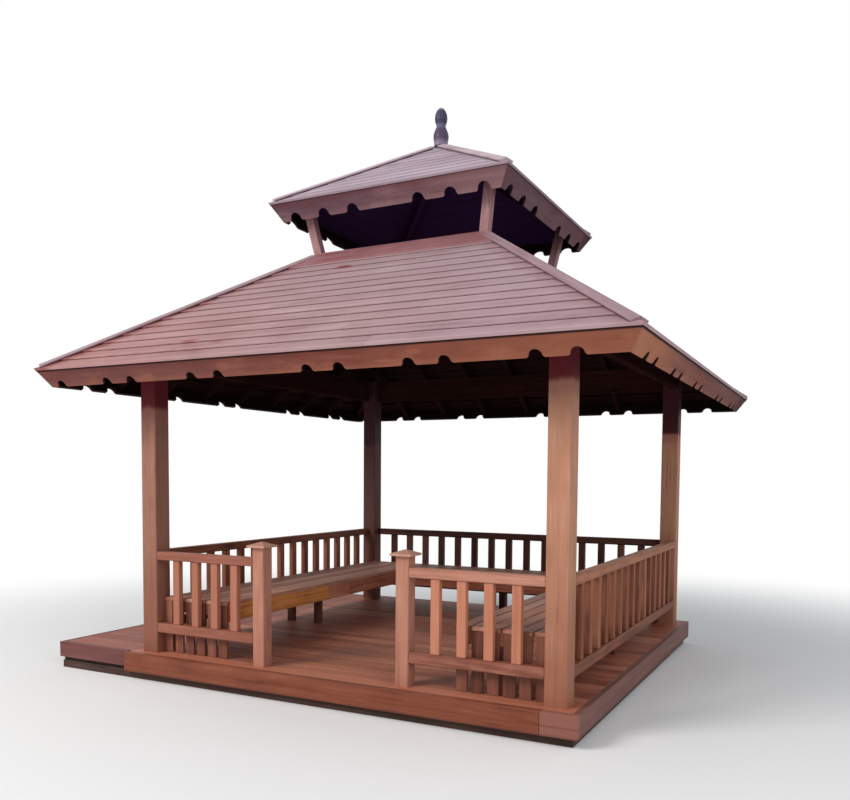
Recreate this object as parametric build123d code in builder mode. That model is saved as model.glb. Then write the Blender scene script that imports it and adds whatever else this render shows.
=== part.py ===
"""Two-tier garden gazebo in timber, on a low deck with a side platform.

Millimetres. The origin is on the ground under the middle of the four corner posts.
+X runs to the right along the front, +Y towards the back, +Z up. The entrance is on the -Y side.
"""
from math import atan, cos, degrees, hypot, radians, sin, sqrt
import os

from build123d import *

# Deck and base
deck_top = 210.0
board_thickness = 28.0
rim_height = 150.0
rim_thickness = 40.0
front_rim_thickness = 50.0
deck_margin = 60.0
side_deck_width = 840.0
side_rim_height = 125.0
sill_height = 60.0
sill_width = 90.0
sleeper_pitch = 400.0
joist_width = 45.0

# Corner posts and the two newels of the entrance
post_pitch = 3370.0
post_width = 150.0
arris = 5.0
newel_width = 100.0
newel_offset = 605.0
newel_height = 885.0
cap_overhang = 30.0
cap_edge = 14.0
cap_rise = 26.0
cap_tip = 14.0

# Railings
rail_thickness = 70.0
top_rail_height = 66.0
top_rail_top = 808.0
bottom_rail_height = 75.0
bottom_rail_top = 239.0
baluster_width = 65.0
baluster_depth = 45.0
front_balusters = 4
side_balusters = 15

# Benches
seat_height = 440.0
seat_board = 28.0
seat_slats = 6
seat_gap = 12.0
bench_depth = 640.0
bench_fascia_height = 127.0
bench_fascia_thickness = 28.0
ledger_height = 90.0
bearer_width = 45.0
bearers_per_side_bench = 7
bearers_per_back_bench = 5
bearers_per_leg = 3
leg_width = 70.0
leg_setback = 260.0
end_slat_width = 82.0
end_slat_thickness = 22.0
end_slat_count = 6
bench_end_gap = 12.0

# Header beams on the post line
header_height = 220.0
header_thickness = 70.0

# Lower roof, measured at the outer top edge of its fascia
eave_overhang = 529.0
eave_height = 2193.0
lower_slope = 0.675
opening_half = 744.0
fascia_thickness = 22.0
lower_fascia_width = 139.0
roof_board = 22.0
roof_overhang = 12.0
rafter_width = 45.0
rafter_depth = 90.0
rafter_pitch = 510.0
rafters_per_side = 7
curb_height = 150.0
trim_width = 250.0
trim_thickness = 12.0
cap_board_width = 85.0
cap_board_thickness = 18.0

# Upper roof
upper_overhang = 294.0
vent_height = 381.0
upper_slope = 0.6146
upper_fascia_width = 150.0
upper_rafter_depth = 70.0
strut_width = 70.0
strut_lean = 0.18

# Scalloped notches in the foot of the fascias
lower_notch_radius = 41.0
lower_notch_depth = 52.0
upper_notch_radius = 50.0
upper_notch_depth = 64.0
notch_shoulder = 13.0
notch_pair = 240.0
front_notch_pairs = (-1498.0, -690.0, 278.0, 1012.0, 1810.0)
front_single_notch = -2096.0
side_notch_pairs = (-1767.0, -984.0, -170.0, 905.0, 1720.0)
upper_notch_pitch = 270.0
upper_notch_group = 560.0

# Finial, a turned post end that also takes the upper hip rafters: radius and level of its ball, neck and acorn
king_post_width = 80.0
king_post_length = 330.0
finial_ball = ((60.0, 0.0), (60.0, 38.0), (66.0, 68.0), (66.0, 94.0), (60.0, 119.0))
finial_neck = ((44.0, 157.0), (40.0, 172.0), (43.5, 187.0))
finial_acorn = ((53.0, 216.0), (55.0, 240.0), (50.5, 270.0), (40.0, 297.0), (26.0, 316.0), (10.0, 327.0))

clearance = 0.3

# Values that follow from the sizes above
post_half = post_pitch / 2
post_face = post_half + post_width / 2
post_inner = post_half - post_width / 2
frame_half = post_face + deck_margin
deck_under = deck_top - board_thickness
seat_top = deck_top + seat_height
bench_inner = post_inner - bench_depth
rail_inner = post_face - rail_thickness
seat_under = seat_top - seat_board


def tangent(turn):
    return Vector(cos(radians(turn)), sin(radians(turn)), 0)


def outward(turn):
    return Vector(sin(radians(turn)), -cos(radians(turn)), 0)


def section_plane(turn, along=0.0):
    """Upright plane across one side: x runs outwards, y runs up, at a distance along the side."""
    return Plane(origin=tangent(turn) * along, x_dir=outward(turn), z_dir=-tangent(turn))


def hip_plane(turn, side, inset=0.0):
    """Upright plane on a hip line; its normal points into the given side of the roof."""
    normal = (outward(turn) - tangent(turn) * side).normalized()
    return Plane(origin=normal * inset, z_dir=normal)


def mitre(turn, inset=0.0):
    split(bisect_by=hip_plane(turn, 1, inset), keep=Keep.TOP)
    split(bisect_by=hip_plane(turn, -1, inset), keep=Keep.TOP)


class Tier:
    """One roof: a square pyramid given by half its span, its eave height and its slope."""

    def __init__(self, half, eave, slope, fascia_width):
        self.half = half
        self.eave = eave
        self.slope = slope
        self.angle = atan(slope)
        self.fascia_width = fascia_width

    def height(self, reach):
        """Height of the rafters' top plane at a distance from the middle."""
        return self.eave + self.slope * (self.half - reach)

    def point(self, reach, lift):
        """Point in a section plane, a given reach out and a lift square to the slope."""
        return (reach + lift * sin(self.angle), self.height(reach) + lift * cos(self.angle))

    def hip_point(self, reach, lift):
        """Point of the hip line in the roof plane of one side, a lift above the rafters."""
        rise = self.half + lift * sin(self.angle) - reach
        return Vector(reach, rise / cos(self.angle))

    def eave_plane(self, turn, inset=0.0):
        """Plane of the fascia's outer face; x runs along the eave, y up and outwards."""
        down = outward(turn) * cos(self.angle) - Vector(0, 0, sin(self.angle))
        corner = outward(turn) * self.half + Vector(0, 0, self.eave)
        return Plane(origin=corner - down * inset, x_dir=tangent(turn), z_dir=down)

    def roof_plane(self, turn, lift):
        """Plane of the roof a lift above the rafters, with its origin at the eave and y up the slope."""
        normal = outward(turn) * sin(self.angle) + Vector(0, 0, cos(self.angle))
        corner = outward(turn) * self.half + Vector(0, 0, self.eave)
        return Plane(origin=corner + normal * lift, x_dir=tangent(turn), z_dir=normal)


lower = Tier(post_face + eave_overhang, deck_top + eave_height, lower_slope, lower_fascia_width)
upper_eave = lower.height(opening_half) + vent_height
upper = Tier(opening_half + upper_overhang, upper_eave, upper_slope, upper_fascia_width)
rafter_plumb = rafter_depth / cos(lower.angle)
king_clear = king_post_width / sqrt(2) + clearance
header_top = lower.height(post_face - header_thickness) - rafter_plumb
header_bottom = header_top - header_height
sides = {"front": 0, "right": 90, "back": 180, "left": 270}


def save(name, part):
    part.label = name
    export_step(part, f"parts/{name}.step")


def box(low, high, mode=Mode.ADD):
    """Box from its lowest to its highest corner, in the builder that is open."""
    size = [b - a for a, b in zip(low, high)]
    middle = [(a + b) / 2 for a, b in zip(low, high)]
    with Locations(tuple(middle)):
        Box(*size, mode=mode)


def side_box(side, near, far, y_low, y_high, z_low, z_high):
    """Box at a near to a far distance from the middle plane, on the left or right side."""
    x_low, x_high = sorted((side * near, side * far))
    box((x_low, y_low, z_low), (x_high, y_high, z_high))


def spaced(count, low, high):
    """Places of evenly spread members between two faces."""
    return [low + (high - low) * (i + 1) / (count + 1) for i in range(count)]


def make_deck():
    sill = frame_half
    edge = sill + rim_thickness
    outer = -sill - side_deck_width
    base_left = outer + rim_thickness
    inner = sill - sill_width
    reach = int(-base_left // sleeper_pitch)
    sleepers = [i * sleeper_pitch for i in range(-reach, reach) if abs(i * sleeper_pitch) < inner or i < 0]
    ends = [base_left + sill_width / 2, sill - sill_width / 2]
    with BuildPart() as base_sill:
        box((base_left, -sill, 0), (sill, -inner, sill_height))
        box((base_left, inner, 0), (sill, sill, sill_height))
        for x in sleepers + ends:
            end = inner - clearance
            box((x - sill_width / 2, -end, 0), (x + sill_width / 2, end, sill_height))
    save("base_sill", base_sill.part)

    half_joist = joist_width / 2
    side_end = sill - rim_thickness
    side_joists = [x for x in sleepers if x < -edge - joist_width]
    side_joists.append(base_left + half_joist)
    main_joists = [x for x in sleepers if x > -edge + joist_width]
    main_joists += [-edge, sill - half_joist]
    with BuildPart() as floor_joists:
        for places, end in ((main_joists, sill), (side_joists, side_end)):
            for x in places:
                box((x - half_joist, -end, sill_height), (x + half_joist, end, deck_under))
    save("floor_joists", floor_joists.part)

    rim_bottom = deck_top - rim_height
    with BuildPart() as front_rim:
        box((-edge, -sill - front_rim_thickness, rim_bottom), (edge, -sill, deck_top))
    save("front_rim_board", front_rim.part)

    with BuildPart() as deck_rim:
        box((sill, -sill, rim_bottom), (edge, edge, deck_top))
        box((-edge, sill, rim_bottom), (sill, edge, deck_top))
    save("deck_rim", deck_rim.part)

    side_bottom = deck_top - side_rim_height
    seam = -edge - half_joist
    with BuildPart() as side_rim:
        box((outer, -sill, side_bottom), (seam, -side_end, deck_top))
        box((outer, -sill, side_bottom), (base_left, sill, deck_top))
        box((outer, side_end, side_bottom), (seam, sill, deck_top))
    save("side_deck_rim", side_rim.part)

    with BuildPart() as floor:
        box((-edge, -sill, deck_under), (sill, sill, deck_top))
    save("deck_floor", floor.part)

    with BuildPart() as side_floor:
        box((base_left, -side_end, deck_under), (-edge, side_end, deck_top))
    save("side_deck_floor", side_floor.part)


def make_posts():
    for name, x, y in (
        ("front_left_post", -1, -1),
        ("front_right_post", 1, -1),
        ("back_left_post", -1, 1),
        ("back_right_post", 1, 1),
    ):
        with BuildPart() as post:
            with BuildSketch(Plane.XY.offset(deck_top)) as post_foot:
                with Locations((x * post_half, y * post_half)):
                    Rectangle(post_width, post_width)
                chamfer(post_foot.vertices(), arris)
            extrude(amount=header_top - deck_top)
        save(name, post.part)

    newel_y = -post_face + newel_width / 2
    newel_top = deck_top + newel_height
    for name, x in (("left_newel", -newel_offset), ("right_newel", newel_offset)):
        with BuildPart() as newel:
            with BuildSketch(Plane.XY.offset(deck_top)) as newel_foot:
                with Locations((x, newel_y)):
                    Rectangle(newel_width, newel_width)
                chamfer(newel_foot.vertices(), arris)
            extrude(amount=newel_height)
        save(name, newel.part)

    cap_width = newel_width + 2 * cap_overhang
    cap_taper = degrees(atan((cap_width - cap_tip) / 2 / cap_rise))
    with BuildPart() as caps:
        for x in (-newel_offset, newel_offset):
            with BuildSketch(Plane.XY.offset(newel_top)):
                with Locations((x, newel_y)):
                    Rectangle(cap_width, cap_width)
            extrude(amount=cap_edge)
            with BuildSketch(Plane.XY.offset(newel_top + cap_edge)):
                with Locations((x, newel_y)):
                    Rectangle(cap_width, cap_width)
            extrude(amount=cap_rise, taper=cap_taper)
    save("newel_caps", caps.part)


def railing(turn, low, high, count):
    """Railing between two faces on one side, with its outer face flush with the posts."""
    middle = (low + high) / 2
    with BuildPart() as rail:
        for top, height in ((top_rail_top, top_rail_height), (bottom_rail_top, bottom_rail_height)):
            with BuildSketch(section_plane(turn, middle)) as section:
                with Locations((post_face - rail_thickness / 2, deck_top + top - height / 2)):
                    Rectangle(rail_thickness, height)
                chamfer(section.vertices(), arris)
            extrude(amount=(high - low) / 2, both=True)
        for place in spaced(count, low, high):
            with BuildSketch(section_plane(turn, place)):
                foot = deck_top + bottom_rail_top
                head = deck_top + top_rail_top - top_rail_height
                with Locations((post_face - rail_thickness / 2, (foot + head) / 2)):
                    Rectangle(baluster_depth, head - foot)
            extrude(amount=baluster_width / 2, both=True)
    return rail.part


def make_railings():
    newel_outer = newel_offset + newel_width / 2
    save("front_left_railing", railing(0, -post_inner, -newel_outer, front_balusters))
    save("front_right_railing", railing(0, newel_outer, post_inner, front_balusters))
    for name in ("right", "back", "left"):
        save(f"{name}_railing", railing(sides[name], -post_inner, post_inner, side_balusters))


def make_benches():
    slat = (bench_depth - (seat_slats - 1) * seat_gap) / seat_slats
    end_face = -rail_inner + bench_end_gap
    front_end = end_face + end_slat_thickness
    fascia_bottom = seat_under - bench_fascia_height
    bearer_bottom = seat_under - ledger_height
    board_inner = bench_inner + bench_fascia_thickness
    ledger_face = post_inner - bearer_width
    step = (post_inner - front_end - bearer_width) / (bearers_per_side_bench - 1)
    bearer_places = [front_end + i * step for i in range(bearers_per_side_bench)]

    for name, side in (("left", -1), ("right", 1)):
        with BuildPart() as frame:
            side_box(side, bench_inner, board_inner, front_end, post_inner, fascia_bottom, seat_under)
            side_box(side, ledger_face, post_inner, front_end, post_inner, bearer_bottom, seat_under)
            for y in bearer_places:
                side_box(side, board_inner, ledger_face, y, y + bearer_width, bearer_bottom, seat_under)
        save(f"{name}_bench_frame", frame.part)

        with BuildPart() as seat:
            for i in range(seat_slats):
                start = bench_inner + i * (slat + seat_gap)
                side_box(side, start, start + slat, end_face, post_inner, seat_under, seat_top)
        save(f"{name}_bench_seat", seat.part)

        pitch = (bench_depth - end_slat_width) / (end_slat_count - 1)
        with BuildPart() as end:
            for i in range(end_slat_count):
                start = bench_inner + i * pitch
                side_box(side, start, start + end_slat_width, end_face, front_end, deck_top, seat_under)
        save(f"{name}_bench_end", end.part)

    span = bench_inner
    bay = (2 * span - bearer_width) / (bearers_per_back_bench - 1)
    with BuildPart() as frame:
        box((-span, bench_inner, fascia_bottom), (span, board_inner, seat_under))
        box((-span, ledger_face, bearer_bottom), (span, post_inner, seat_under))
        for i in range(bearers_per_back_bench):
            x = -span + i * bay
            box((x, board_inner, bearer_bottom), (x + bearer_width, ledger_face, seat_under))
    save("back_bench_frame", frame.part)

    with BuildPart() as seat:
        for i in range(seat_slats):
            start = bench_inner + i * (slat + seat_gap)
            box((-span, start, seat_under), (span, start + slat, seat_top))
    save("back_bench_seat", seat.part)

    half_leg = leg_width / 2
    leg_rows = (bench_inner + leg_setback, post_inner - leg_width)
    with BuildPart() as legs:
        for side in (-1, 1):
            for y in bearer_places[::bearers_per_leg]:
                for x in leg_rows:
                    side_box(side, x, x + leg_width, y, y + bearer_width, deck_top, bearer_bottom)
        for y in leg_rows:
            box((-half_leg, y, deck_top), (half_leg, y + leg_width, bearer_bottom))
    save("bench_legs", legs.part)


def make_headers():
    with BuildPart() as headers:
        for turn in sides.values():
            with BuildSketch(section_plane(turn)):
                with Locations((post_face - header_thickness / 2, header_bottom + header_height / 2)):
                    Rectangle(header_thickness, header_height)
            extrude(amount=post_inner, both=True)
    save("header_beams", headers.part)


def hip_section(tier, depth):
    """Height of a hip rafter's top at a distance along the diagonal, and its plumb depth."""
    slope = tier.slope / sqrt(2)
    drop = rafter_width / 2 * slope

    def top(reach):
        return tier.eave + slope * (tier.half * sqrt(2) - reach) - drop

    return top, depth * hypot(1, slope)


def hip_rafter(tier, turn, depth, start):
    """Rafter under one hip, from a distance along the diagonal out to the fascias."""
    top, plumb = hip_section(tier, depth)
    stop = tier.half * sqrt(2)
    with BuildPart() as rafter:
        with BuildSketch(section_plane(turn + 45)):
            with BuildLine():
                Polyline(
                    (start, top(start)),
                    (stop, top(stop)),
                    (stop, top(stop) - plumb),
                    (start, top(start) - plumb),
                    close=True,
                )
            make_face()
        extrude(amount=rafter_width / 2, both=True)
        split(bisect_by=tier.eave_plane(turn, fascia_thickness), keep=Keep.BOTTOM)
        split(bisect_by=tier.eave_plane(turn + 90, fascia_thickness), keep=Keep.BOTTOM)
    return rafter.part


def seat_on_headers():
    """Cuts the bird's mouths with which rafters sit on the header beams and post tops."""
    box((-post_face, -post_face, header_bottom), (post_face, post_face, header_top), Mode.SUBTRACT)


def make_rafters():
    with BuildPart() as hips:
        for turn in sides.values():
            add(hip_rafter(lower, turn, rafter_depth, opening_half * sqrt(2)))
        seat_on_headers()
    save("hip_rafters", hips.part)

    eave_end = lower.half - fascia_thickness * cos(lower.angle)
    with BuildPart() as jacks:
        for turn in sides.values():
            for i in range(rafters_per_side):
                along = (i - (rafters_per_side - 1) / 2) * rafter_pitch
                reach = abs(along) + rafter_width / 2
                beside_hip = reach + rafter_width / sqrt(2) + clearance
                head = opening_half if reach < opening_half else beside_hip
                with BuildSketch(section_plane(turn, along)):
                    with BuildLine():
                        Polyline(
                            (head, lower.height(head)),
                            (eave_end, lower.height(eave_end)),
                            lower.point(eave_end, -rafter_depth),
                            (head, lower.height(head) - rafter_plumb),
                            close=True,
                        )
                    make_face()
                extrude(amount=rafter_width / 2, both=True)
        seat_on_headers()
    save("jack_rafters", jacks.part)

    top = lower.height(opening_half) + roof_board / cos(lower.angle)
    with BuildPart() as curb:
        inner = opening_half - rafter_width
        for side in (-1, 1):
            y_faces = sorted((side * inner, side * opening_half))
            box((-opening_half, y_faces[0], top - curb_height), (opening_half, y_faces[1], top))
            x_faces = sorted((side * inner, side * opening_half))
            y = inner - clearance
            box((x_faces[0], -y, top - curb_height), (x_faces[1], y, top))
    save("roof_curb", curb.part)


def roof_panel(tier, turn, start, inset=0.0):
    """Boarded slope of one side, from a distance out of the middle to just past the fascia."""
    end = tier.half + roof_overhang * cos(tier.angle)
    with BuildPart() as panel:
        with BuildSketch(section_plane(turn)):
            with BuildLine():
                Polyline(
                    (start, tier.height(start)),
                    (end, tier.height(end)),
                    tier.point(end, roof_board),
                    (start, tier.height(start) + roof_board / cos(tier.angle)),
                    close=True,
                )
            make_face()
        extrude(amount=2 * tier.half, both=True)
        mitre(turn, inset)
    return panel.part


def plan_width(tier, width):
    """Distance in plan from a hip line to a line a given width from it in the slope."""
    lean = 1 / cos(tier.angle)
    return width * (lean + 1 / lean) / sqrt(2 * (1 + lean * lean))


def hip_cap(tier, turn, start):
    """Pair of cap boards over the hip between one side and the next, down to the eave corner."""
    lean = 1 / cos(tier.angle)
    length = hypot(1, lean)
    along = Vector(-1 / length, lean / length)
    across = Vector(lean / length, 1 / length)
    corner = tier.hip_point(tier.half, roof_board)
    rise = cap_board_width / length - roof_overhang - corner.Y
    foot = corner + along * (rise * length / lean)
    head = tier.hip_point(start, roof_board)
    spare = across * (2 * cap_board_thickness)
    inward = across * -cap_board_width
    corners = (foot + spare, head + spare, head + inward, foot + inward)
    with BuildPart() as cap:
        with BuildSketch(tier.roof_plane(turn, roof_board)):
            with BuildLine():
                Polyline(*[(corner.X, corner.Y) for corner in corners], close=True)
            make_face()
        extrude(amount=cap_board_thickness)
        split(bisect_by=hip_plane(turn, 1), keep=Keep.TOP)
        split(bisect_by=Plane(origin=tangent(turn) * clearance, z_dir=tangent(turn)), keep=Keep.TOP)
        mirror(about=hip_plane(turn, 1))
    return cap.part


def notch_outline(radius, depth):
    """Round notch with splayed shoulders, standing on the board's foot."""
    rise = depth - radius
    mouth = radius + notch_shoulder
    with BuildSketch() as notch:
        with BuildLine():
            ThreePointArc((-radius, rise), (0, depth), (radius, rise))
            Polyline((radius, rise), (mouth, 0), (mouth, -rise), (-mouth, -rise), (-mouth, 0), (-radius, rise))
        make_face()
    return notch.sketch


def fascia(tier, turn, outline, notches, inset=0.0):
    """Board square to the slope under the roof's edge, notched along its foot and mitred at the corners."""
    with BuildPart() as board:
        with BuildSketch(tier.eave_plane(turn)):
            with Locations((0, -tier.fascia_width / 2)):
                Rectangle(2 * tier.half, tier.fascia_width)
            with Locations(*[(place, -tier.fascia_width) for place in notches]):
                add(outline, mode=Mode.SUBTRACT)
        extrude(amount=-fascia_thickness)
        mitre(turn, inset)
    return board.part


def lower_notches(name):
    """Notches along one side; the back repeats the front and the left the right, as in a mirror."""
    pairs = front_notch_pairs if name in ("front", "back") else side_notch_pairs
    places = [middle + offset for middle in pairs for offset in (-notch_pair / 2, notch_pair / 2)]
    if name in ("front", "back"):
        places.append(front_single_notch)
    mirror = -1 if name in ("back", "left") else 1
    return [mirror * place for place in places]


def upper_notches():
    places = []
    for side in (-1, 1):
        places += [side * upper_notch_group + i * upper_notch_pitch for i in (-1, 0, 1)]
    return places


def trim_board(turn):
    """Wide board over the top courses of one slope, between the cap boards."""
    low = opening_half + trim_width * cos(lower.angle)
    lifts = (roof_board, roof_board + trim_thickness)
    with BuildPart() as board:
        with BuildSketch(section_plane(turn)):
            with BuildLine():
                Polyline(
                    (opening_half, lower.height(opening_half) + lifts[0] / cos(lower.angle)),
                    lower.point(low, lifts[0]),
                    lower.point(low, lifts[1]),
                    (opening_half, lower.height(opening_half) + lifts[1] / cos(lower.angle)),
                    close=True,
                )
            make_face()
        extrude(amount=2 * opening_half, both=True)
        lap = trim_thickness * sin(lower.angle) / sqrt(2)
        mitre(turn, plan_width(lower, cap_board_width) + lap + clearance)
    return board.part


def strut_face(height):
    """Distance from the middle to the outer face of the leaning struts at a height."""
    rise = height - lower.height(opening_half)
    return opening_half + strut_width / 2 + strut_lean * rise


def strut(turn):
    """Leaning corner post between the roofs, cut to the lower hip and under the upper hip rafter."""
    top, plumb = hip_section(upper, upper_rafter_depth)
    low = lower.height(opening_half) - strut_width
    high = upper.height(opening_half)
    lean = atan(upper.slope / sqrt(2))
    diagonal = outward(turn + 45)
    underside = Plane(
        origin=Vector(0, 0, top(0) - plumb),
        x_dir=tangent(turn + 45),
        z_dir=diagonal * sin(lean) + Vector(0, 0, cos(lean)),
    )
    with BuildPart() as post:
        for height in (low, high):
            with BuildSketch(Plane.XY.offset(height)):
                place = diagonal * ((strut_face(height) - strut_width / 2) * sqrt(2))
                with Locations((place.X, place.Y)):
                    Rectangle(strut_width, strut_width)
        loft()
        split(bisect_by=underside, keep=Keep.BOTTOM)
    return post.part


def make_lower_roof():
    notch = notch_outline(lower_notch_radius, lower_notch_depth)
    for name, turn in sides.items():
        save(f"lower_roof_{name}", roof_panel(lower, turn, opening_half))
        save(f"lower_fascia_{name}", fascia(lower, turn, notch, lower_notches(name)))

    with BuildPart() as trim:
        for turn in sides.values():
            add(trim_board(turn))
    save("top_trim", trim.part)

    with BuildPart() as caps:
        for turn in sides.values():
            add(hip_cap(lower, turn, strut_face(lower.height(opening_half) + cap_board_width / 2)))
    save("lower_hip_caps", caps.part)


def make_upper_roof():
    cover = lower.height(0) + roof_board / cos(lower.angle)
    with BuildPart() as struts:
        for turn in sides.values():
            add(strut(turn))
        for reach in (upper.half, opening_half):
            with BuildSketch(Plane.XY.offset(cover - lower.slope * reach)):
                Rectangle(2 * reach, 2 * reach)
        loft(mode=Mode.SUBTRACT)
    save("corner_struts", struts.part)

    with BuildPart() as rafters:
        for turn in sides.values():
            add(hip_rafter(upper, turn, upper_rafter_depth, king_post_width / 2))
    save("upper_hip_rafters", rafters.part)

    with BuildPart() as roof:
        for turn in sides.values():
            add(roof_panel(upper, turn, king_clear, clearance))
    save("upper_roof", roof.part)

    notch = notch_outline(upper_notch_radius, upper_notch_depth)
    with BuildPart() as boards:
        for turn in sides.values():
            add(fascia(upper, turn, notch, upper_notches(), clearance))
    save("upper_fascia", boards.part)

    with BuildPart() as caps:
        for turn in sides.values():
            add(hip_cap(upper, turn, king_clear))
    save("upper_hip_caps", caps.part)


def make_finial():
    """Turned post end standing on the cap boards: a ball, a neck and an acorn, turned in short flats."""
    seat = upper.height(king_clear) + (roof_board + cap_board_thickness) / cos(upper.angle)
    profile = [(radius, seat + level) for radius, level in finial_ball + finial_neck + finial_acorn]
    with BuildPart() as finial:
        with BuildSketch(Plane.XY.offset(seat - king_post_length)):
            Rectangle(king_post_width, king_post_width, rotation=45)
        extrude(amount=king_post_length)
        with BuildSketch(Plane.XZ):
            with BuildLine():
                Polyline((0, seat), *profile, (0, profile[-1][1]), close=True)
            make_face()
        revolve(axis=Axis.Z)
    save("finial", finial.part)


os.makedirs("parts", exist_ok=True)
make_deck()
make_posts()
make_railings()
make_benches()
make_headers()
make_rafters()
make_lower_roof()
make_upper_roof()
make_finial()
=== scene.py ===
"""Garden gazebo in stained timber: its boards, finishes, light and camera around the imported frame."""
import math
import random

import bpy
import numpy as np
from mathutils import Matrix, Vector


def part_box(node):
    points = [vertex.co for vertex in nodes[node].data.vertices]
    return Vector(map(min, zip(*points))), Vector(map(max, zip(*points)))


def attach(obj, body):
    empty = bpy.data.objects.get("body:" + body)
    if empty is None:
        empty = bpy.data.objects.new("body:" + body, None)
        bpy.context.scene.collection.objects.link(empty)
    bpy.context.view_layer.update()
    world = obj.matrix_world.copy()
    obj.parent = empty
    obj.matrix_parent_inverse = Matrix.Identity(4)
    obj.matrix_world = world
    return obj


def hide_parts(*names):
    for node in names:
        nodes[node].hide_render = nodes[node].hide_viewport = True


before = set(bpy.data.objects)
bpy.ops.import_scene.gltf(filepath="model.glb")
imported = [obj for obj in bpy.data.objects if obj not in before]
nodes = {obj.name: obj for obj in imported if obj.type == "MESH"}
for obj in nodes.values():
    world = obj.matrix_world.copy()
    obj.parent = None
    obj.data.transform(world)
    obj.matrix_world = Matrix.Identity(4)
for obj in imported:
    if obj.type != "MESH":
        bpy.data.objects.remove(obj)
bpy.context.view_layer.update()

dice = random.Random(7)

# Turn of each side about the upright axis, in degrees
turns = {"front": 0, "right": 90, "back": 180, "left": 270}

# Sizes and heights of the frame, in metres
eave_half = 2.289
eave_height = 2.403
lower_slope = 0.675
opening_half = 0.744
upper_half = 1.038
upper_height = 3.826875
upper_slope = 0.6146
king_clear = 0.0569
post_face = 1.76
rail_depth = 0.07
rail_top_height = 0.066
rail_foot_height = 0.075
baluster_width = 0.065
baluster_depth = 0.045
bench_fascia = 0.028
ledger_width = 0.045
ledger_height = 0.09
seat_slats = 6
seat_gap = 0.012
end_slat = 0.082
joist_pitch = 0.4
roof_board = 0.022
trim_width = 0.25
trim_board = 0.012
cap_board = 0.018
strut_face = 0.787
rail_foot_top = 0.449
rail_head_under = 0.952
rim_thickness = 0.04
newel_top = 1.095
platform_inner = -1.86

# Sizes of the boards added here, in metres, with their counts; the sharp angle is in degrees
sharp_angle = 40
eased_edge = 0.003
thin_eased_edge = 0.0015
eased_cap = 0.002
eased_rail = 0.006
eased_slat = 0.004
butt_joint = 0.002
bench_joint = 0.0015
fibre_shift = 40
course_lap = 0.03
course_bed = 0.002
lower_course = {"thick": 0.014, "fall": 0.0145, "lift": 0.0195}
upper_course = {"thick": 0.02, "fall": 0.006, "lift": 0.012}
first_butt = -0.002
lower_butts = (first_butt, 0.130, 0.257, 0.383, 0.505, 0.629, 0.753, 0.877, 0.998, 1.117, 1.233, 1.362,
               1.481, 1.603)
upper_pitch = 0.121
upper_courses = 9
trim_length = 2.2
cap_width = 0.055
deck_pitch = 0.125
deck_gap = 0.005
packing_width = 0.027
packing_setback = 0.012
front_balusters = 4
side_balusters = 15
left_bench_joints = (-0.278, 0.079)
right_bench_joints = (0.35,)
side_bearers = 7
back_bearers = 5

# Places of marks: joints, overlaps, screws, stains and shade
rim_joint = 1.62
side_joint = -0.47
joint_width = (0.003, 0.0015)
screw_line = 0.06
screw_spread = 0.034
screw_edge = (0.0052, 0.0038)
lower_overlap = 0.138
upper_overlap = 0.145
last_course_level = 4.38
lower_underside = 0.0055
upper_underside = 0.0025
groove_width = 0.0022
cap_side = 0.0012
post_head_level = 2.26
loft_level = 3.6
strut_head_levels = (3.72, 3.86)
platform_rim_corner = 1.75
finial_neck = 4.645
back_start = 0.002
back_full = 0.006
roof_stains = ((-0.96, -2.076, 0.11, 0.022), (-0.69, -2.108, 0.1, 0.016), (-0.3, -1.075, 0.11, 0.02))

# Sizes and places of the stage
floor_size = 120
floor_drop = 0.002
floor_fade = (3.6, 8.5)
lamp_aim = (0, 0, 1.5)


# Shader tools

def tint(red, green, blue):
    """Display colour 0 to 255 as the linear colour that a socket takes."""
    parts = [c / 255 for c in (red, green, blue)]
    linear = [c / 12.92 if c <= 0.04045 else ((c + 0.055) / 1.055) ** 2.4 for c in parts]
    return (*linear, 1.0)


class Field:
    """A number that changes over a surface; arithmetic on it adds Math nodes."""

    def __init__(self, finish, socket):
        self.finish = finish
        self.socket = socket

    def math(self, operation, *values):
        """A Math node on fields and numbers."""
        made = self.finish.node("Math", {"operation": operation}, *values)
        return Field(self.finish, made.outputs[0])

    def __add__(self, other):
        return self.math("ADD", self, other)

    def __radd__(self, other):
        return self.math("ADD", other, self)

    def __sub__(self, other):
        return self.math("SUBTRACT", self, other)

    def __rsub__(self, other):
        return self.math("SUBTRACT", other, self)

    def __mul__(self, other):
        return self.math("MULTIPLY", self, other)

    def __rmul__(self, other):
        return self.math("MULTIPLY", other, self)

    def __truediv__(self, other):
        return self.math("DIVIDE", self, other)

    def __abs__(self):
        return self.math("ABSOLUTE", self)

    def __gt__(self, other):
        return self.math("GREATER_THAN", self, other)

    def __lt__(self, other):
        return self.math("LESS_THAN", self, other)

    def sine(self):
        return self.math("SINE", self)

    def part(self):
        """What is left past the whole number."""
        return self.math("FRACT", self)

    def power(self, exponent):
        return self.math("POWER", self, exponent)

    def larger(self, other):
        return self.math("MAXIMUM", self, other)


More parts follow.
